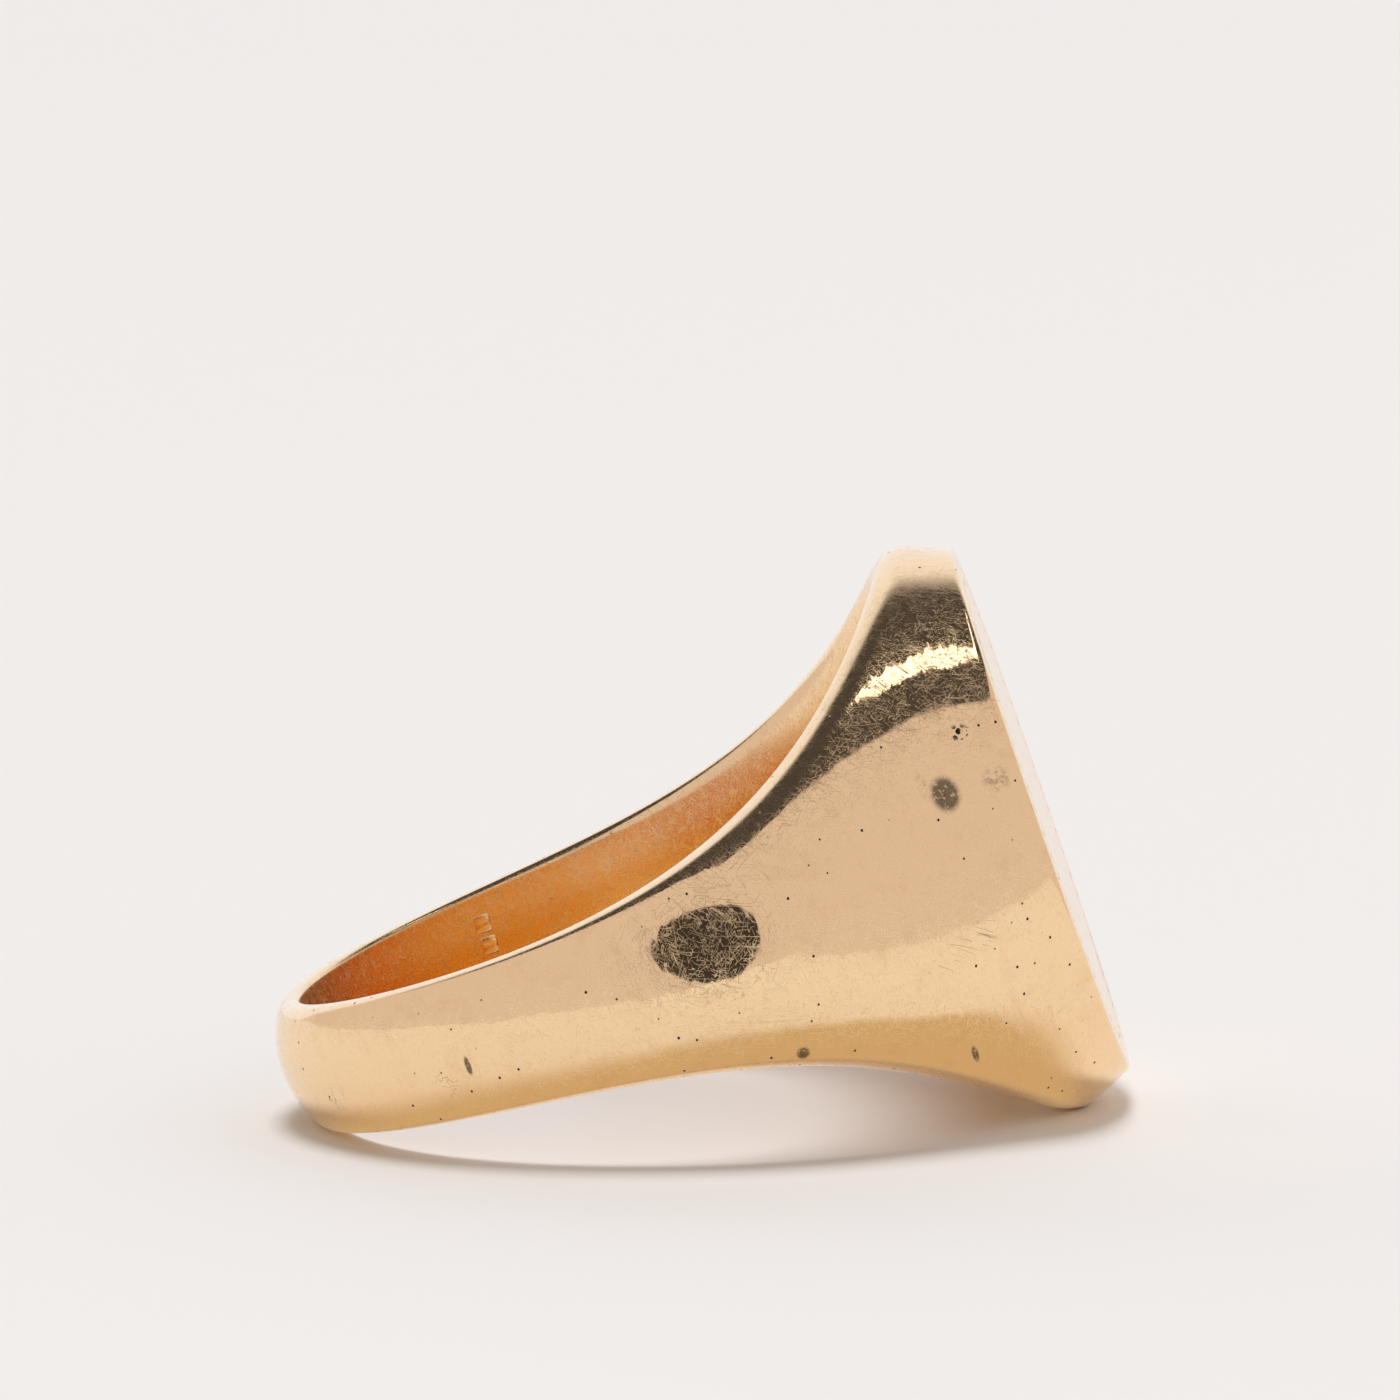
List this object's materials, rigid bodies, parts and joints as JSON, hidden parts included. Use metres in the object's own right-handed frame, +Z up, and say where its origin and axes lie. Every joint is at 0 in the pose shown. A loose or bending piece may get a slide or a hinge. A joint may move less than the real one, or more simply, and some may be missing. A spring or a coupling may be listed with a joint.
{
  "type": "signet ring",
  "caption": "Oval signet ring in polished yellow gold with a flat seal table, flared shoulders and a tapering domed shank, lying on its side.",
  "frame": {"origin": "bottom centre of the bounding box of the ring as it lies on its side", "axes": "+X towards the side that the seal table faces, +Y across the ring from one shoulder to the other, +Z up; the ring rests on the head's lower end and the back of the shank, with the seal table's normal tipped up from +X"},
  "size_m": [0.023, 0.0208, 0.0151],
  "materials": {
    "yellow_gold": "polished gold alloy, worn, with fine scratches",
    "gold_solder": "polished hard gold solder, a little paler than the pieces"
  },
  "bodies": {
    "root": {"head_block": "yellow_gold", "left_shank": "yellow_gold", "left_shank_solder": "gold_solder", "left_shoulder": "yellow_gold", "left_shoulder_solder": "gold_solder", "left_sizing_solder": "gold_solder", "right_shank": "yellow_gold", "right_shank_solder": "gold_solder", "right_shoulder": "yellow_gold", "right_shoulder_solder": "gold_solder", "right_sizing_solder": "gold_solder", "seal_plate": "yellow_gold", "sizing_piece": "yellow_gold", "table_solder": "gold_solder"}
  },
  "joints": []
}
